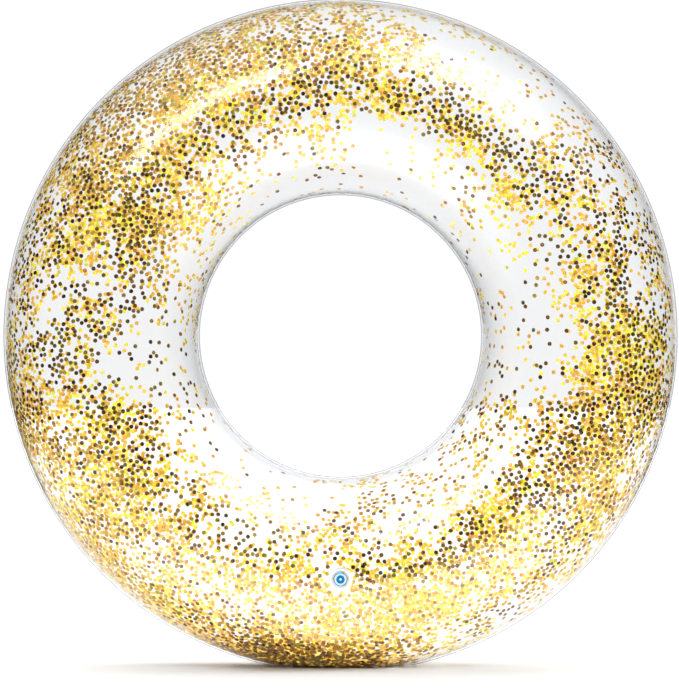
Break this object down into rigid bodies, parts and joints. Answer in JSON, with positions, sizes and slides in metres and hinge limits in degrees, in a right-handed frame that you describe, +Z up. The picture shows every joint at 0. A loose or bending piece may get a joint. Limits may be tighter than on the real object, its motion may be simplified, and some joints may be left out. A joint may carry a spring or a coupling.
{
  "type": "inflatable swim ring",
  "caption": "Clear inflatable swim ring with loose gold confetti inside and a recessed safety valve, standing upright.",
  "frame": {"origin": "middle of the flat that the floor presses into the lowest part of the ring", "axes": "+Y along the ring's axis, from the valve side to the rear; +Z up; +X to the right seen from the valve side"},
  "size_m": [1.026, 0.293, 1.015],
  "materials": {
    "clear_vinyl": "glossy clear film",
    "valve_clear": "glossy clear moulding",
    "valve_blue": "glossy translucent blue",
    "foil_lemon": "metallic foil",
    "foil_gold": "metallic foil",
    "foil_amber": "metallic foil",
    "foil_copper": "metallic foil",
    "foil_bronze": "metallic foil",
    "foil_olive": "metallic foil"
  },
  "bodies": {
    "ring": {"front_panel": "clear_vinyl", "rear_panel": "clear_vinyl", "valve_flange": "valve_clear", "valve_diaphragm": "valve_clear", "glitter_lemon": "foil_lemon", "glitter_gold": "foil_gold", "glitter_amber": "foil_amber", "glitter_copper": "foil_copper", "glitter_bronze": "foil_bronze", "glitter_olive": "foil_olive"},
    "stem": {"valve_stem": "valve_blue", "plug_strap": "valve_blue"},
    "plug": {"valve_plug": "valve_blue"},
    "flap": {"check_flap": "valve_blue"}
  },
  "joints": [
    {"name": "stem_slide", "type": "slide", "parent": "ring", "child": "stem", "axis": [0, -1, 0], "range_m": [0, 0.016], "deforming": ["valve_diaphragm"]},
    {"name": "plug_swing", "type": "hinge", "parent": "stem", "child": "plug", "pos_m": [0, -0.14355, 0.1292], "axis": [1, 0, 0], "range_deg": [0, 95], "deforming": ["plug_strap"]},
    {"name": "flap_swing", "type": "hinge", "parent": "stem", "child": "flap", "pos_m": [0, -0.12345, 0.1445], "axis": [1, 0, 0], "range_deg": [0, 60], "stiffness_Nm_per_rad": 0.0005}
  ]
}
